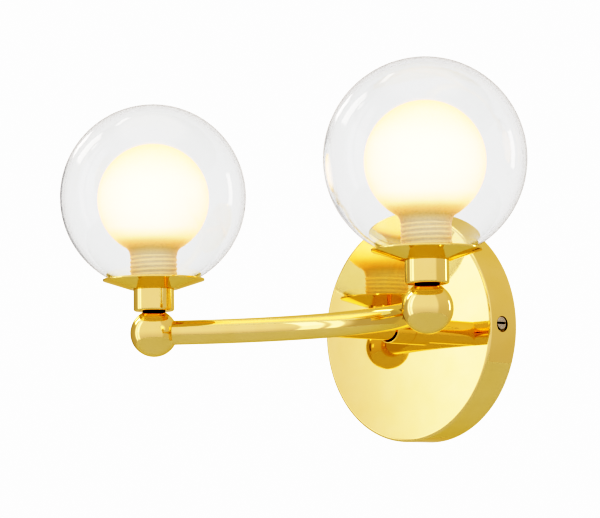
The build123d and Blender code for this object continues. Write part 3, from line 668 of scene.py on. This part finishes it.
# ================================================================ ball, neck, cup and tray
def ball_outline(metal):
    """Ball from its lowest point to the land on its top, then down the nipple's bore to its bottom."""
    land_z = BALL_FLAT_Z + metal.ball_land
    land_r = sqrt(BALL_R ** 2 - land_z ** 2)
    ball = arc_outline((0, 0), BALL_R, -90, degrees(asin(land_z / BALL_R)), 80)
    bore_r = metal.nipple_r + SNUG
    bore_z = 4.0 * MM
    broken_edge = 0.1 * MM
    rest = rounded_outline([(land_r - broken_edge, land_z, 0), (bore_r, land_z, 0), (bore_r, bore_z, 0),
                            (0, bore_z, 0)], False)
    return np.concatenate([ball, rest])


def spacer_outline(metal):
    """The spacer between the ball's land and the cup; its near-black finish also paints the shade in the gap
    there.
    """
    outer_r, foot_z, top_z = turned_size("neck_spacer_left")
    bore_r = metal.nipple_r + LOOSE
    land_z = foot_z + metal.ball_land
    edge = 0.15 * MM
    return rounded_outline([(bore_r, land_z, 0), (outer_r, land_z, edge), (outer_r, top_z, edge),
                            (bore_r, top_z, 0)], True, steps=4)


def cup_outline(metal):
    """Cup: floor with a bore, a rounded lower edge and an open top."""
    outer_r, foot_z, top_z = turned_size("cup_left")
    inner_r = outer_r - metal.cup_wall
    bore_r = metal.nipple_r + LOOSE
    floor_z = foot_z + metal.cup_floor
    return rounded_outline([(bore_r, foot_z, 0), (outer_r, foot_z, metal.cup_edge),
                            (outer_r, top_z, 0.08 * MM), (inner_r, top_z, 0), (inner_r, floor_z, 0),
                            (bore_r, floor_z, 0)], True, steps=12)


def tray_outline(metal):
    """Dish: a flat middle and a straight cone, the rim rounded.

    The underside of the cone lies sheet / cos slope lower, and it starts sheet tan(slope / 2) further out.
    """
    rim_r, foot_z, top_z = turned_size("tray_left")
    slope = metal.tray_slope
    floor_z = foot_z + metal.tray_sheet
    floor_r = rim_r - (top_z - floor_z) / tan(slope)
    under = metal.tray_sheet * tan(slope / 2)
    rim_under = top_z - metal.tray_sheet / cos(slope)
    rim_round = 0.33 * MM
    lower_bend = 1.6 * MM
    upper_bend = 1.2 * MM
    bore_r = metal.nipple_r + LOOSE
    return rounded_outline([(bore_r, foot_z, 0), (floor_r + under, foot_z, lower_bend),
                            (rim_r, rim_under, rim_round), (rim_r, top_z, rim_round),
                            (floor_r, floor_z, upper_bend), (bore_r, floor_z, 0)], True, steps=8)


class SCONCE_OT_lamp_metal(bpy.types.Operator):
    """Make the end balls, necks, cups and trays"""
    bl_idname = "sconce.lamp_metal"
    bl_label = "Balls, cups and trays"

    def execute(self, context):
        metal = context.scene.sconce_metal
        rows = (("end_ball", ball_outline(metal), "polished_gold", 128, False),
                ("cup", cup_outline(metal), "polished_gold", 128, True),
                ("tray", tray_outline(metal), "polished_gold", 192, True),
                # the spacer's near-black finish is partly painted shade in the gap under the cup
                ("neck_spacer", spacer_outline(metal), "black_washer", 96, True))
        for side in SIDES:
            for name, outline, slot, steps, closed in rows:
                mesh = turned_mesh(f"{name}_{side}_finish", outline, partial(at_lamp, side), steps, closed)
                add_piece(mesh, f"{name}_{side}", slot)
        return {"FINISHED"}


# ================================================================ glass
def bulb_outline(bulb_r, neck_r, shoulder_r, foot_z, neck_steps):
    """Neck from its foot, round shoulder and ball up to the top, as (radius, height).

    The shoulder's arc touches neck and ball, so its centre is neck + shoulder radius from the axis and lies
    sqrt((bulb + shoulder)^2 - (neck + shoulder)^2) below the ball's.
    """
    shoulder_z = OPAL_Z - sqrt((bulb_r + shoulder_r) ** 2 - (neck_r + shoulder_r) ** 2)
    turn = degrees(asin((neck_r + shoulder_r) / (bulb_r + shoulder_r)))
    heights = np.linspace(foot_z, shoulder_z, neck_steps + 1)
    neck = np.stack([np.full_like(heights, neck_r), heights], axis=1)
    shoulder = arc_outline((neck_r + shoulder_r, shoulder_z), shoulder_r, 180, 90 + turn, 12)
    bulb = arc_outline((0, OPAL_Z), bulb_r, -90 + turn, 90, 84)
    return np.concatenate([neck[:-1], shoulder[:-1], bulb]), shoulder_z


def thread_crests(glass, shoulder_z, x, y, height):
    """Nearness to the crest of the neck's thread, 1 on it and 0 in the root and beyond the thread.

    It is ((1 + cos 2 pi u) / 2) to the power 1.3, where u counts pitches up the neck less turns round it;
    the crest fades out under the shoulder.
    """
    turns = np.arctan2(y, x) / (2 * pi)
    wave = (0.5 + 0.5 * np.cos(2 * pi * ((height - NECK_FOOT_Z) / glass.thread_pitch - turns))) ** 1.3
    below = shoulder_z - 0.5 * MM - height
    return wave * np.clip(below / (0.8 * MM), 0, 1)


def opal_mesh(glass, side):
    """Opal bulb, its neck cut with a rounded helical thread whose root fades out at the shoulder.

    The neck's radius is less by the thread's depth times one minus the nearness to a crest.
    """
    outer, shoulder_z = bulb_outline(OPAL_R, glass.neck_r, glass.shoulder_r, NECK_FOOT_Z, 112)
    inner, _ = bulb_outline(OPAL_R - glass.opal_wall, glass.neck_r - glass.neck_wall,
                            glass.shoulder_r + glass.opal_wall, NECK_FOOT_Z, 4)
    grid = turned_grid(np.concatenate([outer, inner[::-1]]), 144)
    skin = grid[:, :len(outer)]
    crests = thread_crests(glass, shoulder_z, *np.moveaxis(skin, -1, 0))
    cut = glass.thread_depth * np.clip((shoulder_z - skin[..., 2]) / (1.0 * MM), 0, 1) * (1 - crests)
    radius = np.maximum(np.hypot(skin[..., 0], skin[..., 1]), MM)
    skin[..., :2] *= (1 - cut / radius)[..., None]
    mesh = mesh_from_grids(f"opal_bulb_{side}_finish", [(at_lamp(side, grid), True, True)])
    # nearness to a crest, kept on the mesh for the opal's painted crest highlights
    points = np.empty(len(mesh.vertices) * 3)
    mesh.vertices.foreach_get("co", points)
    places = points.reshape(-1, 3) - at_lamp(side, np.zeros(3))
    attribute = mesh.attributes.new(CREST_HIGHLIGHT_ATTRIBUTE, "FLOAT", "POINT")
    attribute.data.foreach_set("value", thread_crests(glass, shoulder_z, *places.T))
    return mesh


def globe_mesh(glass, side):
    """Clear globe: two nested balls joined round the neck's foot, each open below where it meets the neck."""
    inner_r = GLOBE_R - glass.globe_wall
    fused_gap = 0.02 * MM
    neck_r = glass.neck_r + fused_gap
    outer = arc_outline((0, GLOBE_Z), GLOBE_R, -degrees(acos(neck_r / GLOBE_R)), 90, 120)
    inner = arc_outline((0, GLOBE_Z), inner_r, 90, -degrees(acos(neck_r / inner_r)), 80)
    grid = turned_grid(np.concatenate([outer, inner]), 400)
    return mesh_from_grids(f"clear_globe_{side}_finish", [(at_lamp(side, grid), True, True)])


class SCONCE_OT_glass(bpy.types.Operator):
    """Make the clear globes and the opal bulbs in them"""
    bl_idname = "sconce.glass"
    bl_label = "Globes and opal bulbs"

    def execute(self, context):
        glass = context.scene.sconce_glass
        for side in SIDES:
            add_piece(globe_mesh(glass, side), f"clear_globe_{side}", "clear_glass", f"glass_{side}")
            add_piece(opal_mesh(glass, side), f"opal_bulb_{side}", "opal_glass", f"glass_{side}")
        return {"FINISHED"}


# ================================================================ carrier and lamp
def carrier_mesh(side):
    """Turned cup with a fine rounded thread down its outside.

    Its radius is less by the thread's depth times (1 - cos 2 pi u) / 2, where u counts pitches up the wall
    less turns round it; the thread fades out over the last millimetre at both ends.
    """
    metal = bpy.context.scene.sconce_metal
    outer_r, foot_z, top_z = turned_size(f"glass_carrier_{side}")
    bore_r = outer_r - metal.carrier_wall
    hole_r = metal.nipple_r + LOOSE
    floor_z = foot_z + metal.cup_floor
    heights = np.linspace(foot_z, top_z, 97)
    wall = np.stack([np.full_like(heights, outer_r), heights], axis=1)
    rest = rounded_outline([(bore_r, top_z, 0), (bore_r, floor_z, 0), (hole_r, floor_z, 0),
                            (hole_r, foot_z, 0)], False)
    steps = 128
    thread_depth = 0.35 * MM
    grid = turned_grid(np.concatenate([wall, rest]), steps)
    turns = np.arange(steps)[:, None] / steps
    pitches = (heights - foot_z) / bpy.context.scene.sconce_glass.thread_pitch
    root = 0.5 - 0.5 * np.cos(2 * pi * (pitches - turns))
    ends = np.clip(np.minimum(heights - foot_z, top_z - heights) / MM, 0, 1)
    grid[:, :len(wall), :2] *= (1 - thread_depth * root * ends / outer_r)[..., None]
    return mesh_from_grids(f"glass_carrier_{side}_finish", [(at_lamp(side, grid), True, True)])


def capsule_outline():
    """Frosted glass of the lamp: a foot disc, a cylinder and a half-round end."""
    radius, foot_z, top_z = turned_size("lamp_capsule_left")
    foot = rounded_outline([(0, foot_z, 0), (radius, foot_z, 0.3 * MM), (radius, top_z - radius, 0)], False)
    return np.concatenate([foot[:-1], arc_outline((0, top_z - radius), radius, 0, 90, 24)])


def base_outline():
    """White base of the lamp with rounded edges."""
    radius, foot_z, top_z = turned_size("lamp_base_left")
    edge = 1.0 * MM
    return rounded_outline([(0, foot_z, 0), (radius, foot_z, edge), (radius, top_z, edge), (0, top_z, 0)],
                           False)


class SCONCE_OT_lamps(bpy.types.Operator):
    """Make the glass carriers and the lamps"""
    bl_idname = "sconce.lamps"
    bl_label = "Carriers and lamps"

    def execute(self, context):
        rows = (("lamp_capsule", capsule_outline(), "lamp_glass"),
                ("lamp_base", base_outline(), "lamp_base_white"))
        for side in SIDES:
            add_piece(carrier_mesh(side), f"glass_carrier_{side}", "carrier_aluminium")
            for name, outline, slot in rows:
                mesh = turned_mesh(f"{name}_{side}_finish", outline, partial(at_lamp, side), 64, False)
                add_piece(mesh, f"{name}_{side}", slot, f"lamp_{side}")
        return {"FINISHED"}


# ================================================================ pieces kept from the frame
class SCONCE_OT_fixings(bpy.types.Operator):
    """Give the bracket, screws, nuts, holders, terminals and leads their finishes"""
    bl_idname = "sconce.fixings"
    bl_label = "Fixings and wiring"

    def execute(self, context):
        slots = {row["node"]: row["material_slot"] for row in frame["record"]["subparts"]}
        for name, node in frame["nodes"].items():
            if node.hide_render:
                continue
            material = material_of("rim_screw_steel_painted_shade" if name.startswith("side_screw") else slots[name])
            node.data.materials.clear()
            node.data.materials.append(material)
        return {"FINISHED"}


# ================================================================ stage
def add_camera(view):
    """Camera on the photograph's line of sight, looking at the target with the fitted roll."""
    azimuth, elevation = view.azimuth, view.elevation
    back = Vector((sin(azimuth) * cos(elevation), -cos(azimuth) * cos(elevation), sin(elevation)))
    level = Vector((cos(azimuth), sin(azimuth), 0))
    above = back.cross(level)
    right = level * cos(view.roll) + above * sin(view.roll)
    up = above * cos(view.roll) - level * sin(view.roll)
    data = bpy.data.cameras.new("photo_camera")
    data.sensor_width = 36.0
    data.lens = view.focal * data.sensor_width / PHOTO_WIDTH
    data.clip_start = 0.05
    data.clip_end = 50.0
    camera = bpy.data.objects.new("photo_camera", data)
    bpy.context.scene.collection.objects.link(camera)
    turn = Matrix((right, up, back)).transposed()
    camera.matrix_world = Matrix.Translation(Vector(view.target) + back * view.distance) @ turn.to_4x4()
    bpy.context.scene.camera = camera


class Bearings(Nodes):
    """Builds the studio's brightness by direction, as number sockets of a world node tree."""

    def __init__(self, tree):
        super().__init__(tree)
        toward_room = self.math("MULTIPLY", self.along("Y", "Generated"), -1.0)
        self.azimuth = self.math("DEGREES", self.math("ARCTAN2", self.along("X", "Generated"), toward_room))
        self.elevation = self.math("DEGREES", self.math("ARCSINE", self.along("Z", "Generated")))

    def step(self, value, start, end, low=0.0, high=1.0):
        """Smooth step of a socket from low at start to high at end."""
        return self.spread(value, start, end, low, high, "SMOOTHSTEP")

    def between(self, first, second, share):
        """From the first level to the second by a share."""
        keep = self.math("MULTIPLY", first, self.math("SUBTRACT", 1.0, share))
        return self.math("ADD", keep, self.math("MULTIPLY", second, share))

    def panel(self, level, azimuths, elevations, softness, brightness):
        """Lays a softbox with soft edges over the brightness so far; angles in degrees."""
        edges = []
        for angle, (low, high), soft in zip((self.azimuth, self.elevation), (azimuths, elevations), softness):
            edges.append(self.step(angle, low - soft / 2, low + soft / 2))
            edges.append(self.step(angle, high - soft / 2, high + soft / 2, 1.0, 0.0))
        mask = self.math("MULTIPLY", self.math("MULTIPLY", *edges[:2]), self.math("MULTIPLY", *edges[2:]))
        return self.between(level, brightness, mask)


# name: (azimuths, elevations, softness of the upright and level edges, brightness); degrees, azimuth 0
# straight out of the wall and positive to the right
SOFTBOXES = {
    "overhead": ((-181, 181), (62, 95), (1, 14), 1.15),
    "left shade": ((-104, -61), (-30, 22), (8, 10), 0.44),
    "window": ((-42.8, -30), (-24, 44), (3, 16), 1.04),
    "window head": ((-43.2, -30), (4.5, 44), (3, 6), 1.20),
    "window side": ((-55, -47), (-24, 44), (3, 16), 1.12),
    "far window": ((-83, -69), (25, 47), (2, 3), 2.6),
    "far window side": ((-107, -98), (21, 31), (2, 3), 2.6),
    "small window": ((-66, -62), (38, 44), (1, 1), 2.5),
    "skylight": ((-106, -85), (56, 60), (2, 1.5), 2.6),
    "wall strip": ((155, 163), (-3, 19), (1, 2), 2.6),
    "black flag": ((-119, -107), (-10, 14), (3, 6), 0.15),
    "backdrop glow": ((-142, -130), (0, 12), (4, 4), 1.05),
}

# brightness of either side: it rises between two elevations in degrees, from one level to the other
ROOM_SIDE = (-30, 12, 0.55, 0.70)
WALL_SIDE = (-45, 45, 0.49, 0.57)
ROOM_TINT = (1.0, 0.952, 0.985)
WALL_TINT = (1.0, 0.93, 0.88)
# azimuth of the room side's middle, and how far from it the wall side starts and is full, in degrees
ROOM_AZIMUTH = 16.0
ROOM_EDGE = (69, 82)


def add_studio(view):
    """World that is bright and even for the camera, with soft panels for all that mirrors it.

    The room side is bright above the lamps and darker below them, and the wall side is dim throughout.
    """
    world = bpy.data.worlds.new("studio")
    world.use_nodes = True
    world.node_tree.nodes.clear()
    sky = Bearings(world.node_tree)
    aside = sky.math("ABSOLUTE", sky.math("SUBTRACT", sky.azimuth, ROOM_AZIMUTH))
    far = sky.step(aside, *ROOM_EDGE)
    level = sky.between(sky.step(sky.elevation, *ROOM_SIDE), sky.step(sky.elevation, *WALL_SIDE), far)
    for softbox in SOFTBOXES.values():
        level = sky.panel(level, *softbox)
    tint = sky.mix_colours(far, ROOM_TINT, WALL_TINT)
    studio = sky.add("ShaderNodeBackground", {"Color": tint, "Strength": level})
    by_camera = sky.add("ShaderNodeLightPath", {}, "Is Camera Ray")
    by_glass = sky.add("ShaderNodeLightPath", {}, "Is Transmission Ray")
    clear = sky.between(view.through_glass, view.backdrop, by_camera)
    seen = sky.add("ShaderNodeBackground", {"Color": (1, 1, 1), "Strength": clear})
    straight = sky.math("MAXIMUM", by_camera, by_glass)
    light = sky.add("ShaderNodeMixShader", {0: straight, 1: studio, 2: seen})
    output = world.node_tree.nodes.new("ShaderNodeOutputWorld")
    sky.fill(output, {"Surface": light})
    bpy.context.scene.world = world


def add_floor(view):
    """Plain pale floor, a disc whose rings grow wider from its middle."""
    radii = np.concatenate([[0.0], np.geomspace(0.2, 3.0, 12)])
    outline = np.stack([radii, np.full_like(radii, view.floor_z)], axis=1)
    mesh = mesh_from_grids("floor", [(turned_grid(outline[::-1], 96), True, False)])
    mesh.materials.append(material_of("pale_floor"))
    floor = bpy.data.objects.new("floor", mesh)
    bpy.context.scene.collection.objects.link(floor)


# the photograph's contrast on linear light, (scene, picture): deep shadows and a soft shoulder
TONE_CURVE = ((0.0, 0.0), (0.10, 0.012), (0.17, 0.062), (0.23, 0.16), (0.314, 0.31), (0.408, 0.49),
              (0.55, 0.72), (0.663, 0.845), (0.78, 0.918), (0.88, 0.955), (1.0, 0.985))


def set_tone(scene):
    """Standard view through the tone curve."""
    settings = scene.view_settings
    settings.view_transform = "Standard"
    settings.use_curve_mapping = True
    mapping = settings.curve_mapping
    points = mapping.curves[3].points
    points[0].location = TONE_CURVE[0]
    points[1].location = TONE_CURVE[-1]
    for point in TONE_CURVE[1:-1]:
        points.new(*point)
    mapping.update()


class SCONCE_OT_stage(bpy.types.Operator):
    """Set up the floor, the studio light and the photograph's camera"""
    bl_idname = "sconce.stage"
    bl_label = "Stage"

    def execute(self, context):
        view = context.scene.sconce_view
        add_camera(view)
        add_studio(view)
        add_floor(view)
        set_tone(context.scene)
        return {"FINISHED"}


# ================================================================ panel and registration
class SCONCE_PT_build(bpy.types.Panel):
    """Lists the sconce's operators and settings"""
    bl_label = "Wall sconce"
    bl_space_type = "VIEW_3D"
    bl_region_type = "UI"
    bl_category = "Sconce"

    def draw(self, context):
        for operator in OPERATORS:
            self.layout.operator(operator.bl_idname)
        for name in SETTINGS:
            box = self.layout.box()
            settings = getattr(context.scene, name)
            for prop in settings.bl_rna.properties:
                if not prop.is_readonly and prop.identifier != "name":
                    box.prop(settings, prop.identifier)


SETTINGS = {"sconce_metal": SconceMetal, "sconce_glass": SconceGlass, "sconce_view": SconceView}
OPERATORS = (SCONCE_OT_arm, SCONCE_OT_canopy, SCONCE_OT_lamp_metal, SCONCE_OT_glass, SCONCE_OT_lamps,
             SCONCE_OT_fixings, SCONCE_OT_stage)


def register():
    for cls in (*SETTINGS.values(), *OPERATORS, SCONCE_PT_build):
        bpy.utils.register_class(cls)
    for name, cls in SETTINGS.items():
        setattr(bpy.types.Scene, name, PointerProperty(type=cls))


def unregister():
    for name in SETTINGS:
        delattr(bpy.types.Scene, name)
    for cls in (SCONCE_PT_build, *reversed(OPERATORS), *reversed(SETTINGS.values())):
        bpy.utils.unregister_class(cls)


def main():
    """Builds the whole sconce."""
    register()
    for operator in OPERATORS:
        group, name = operator.bl_idname.split(".")
        getattr(getattr(bpy.ops, group), name)()


if __name__ == "__main__":
    main()
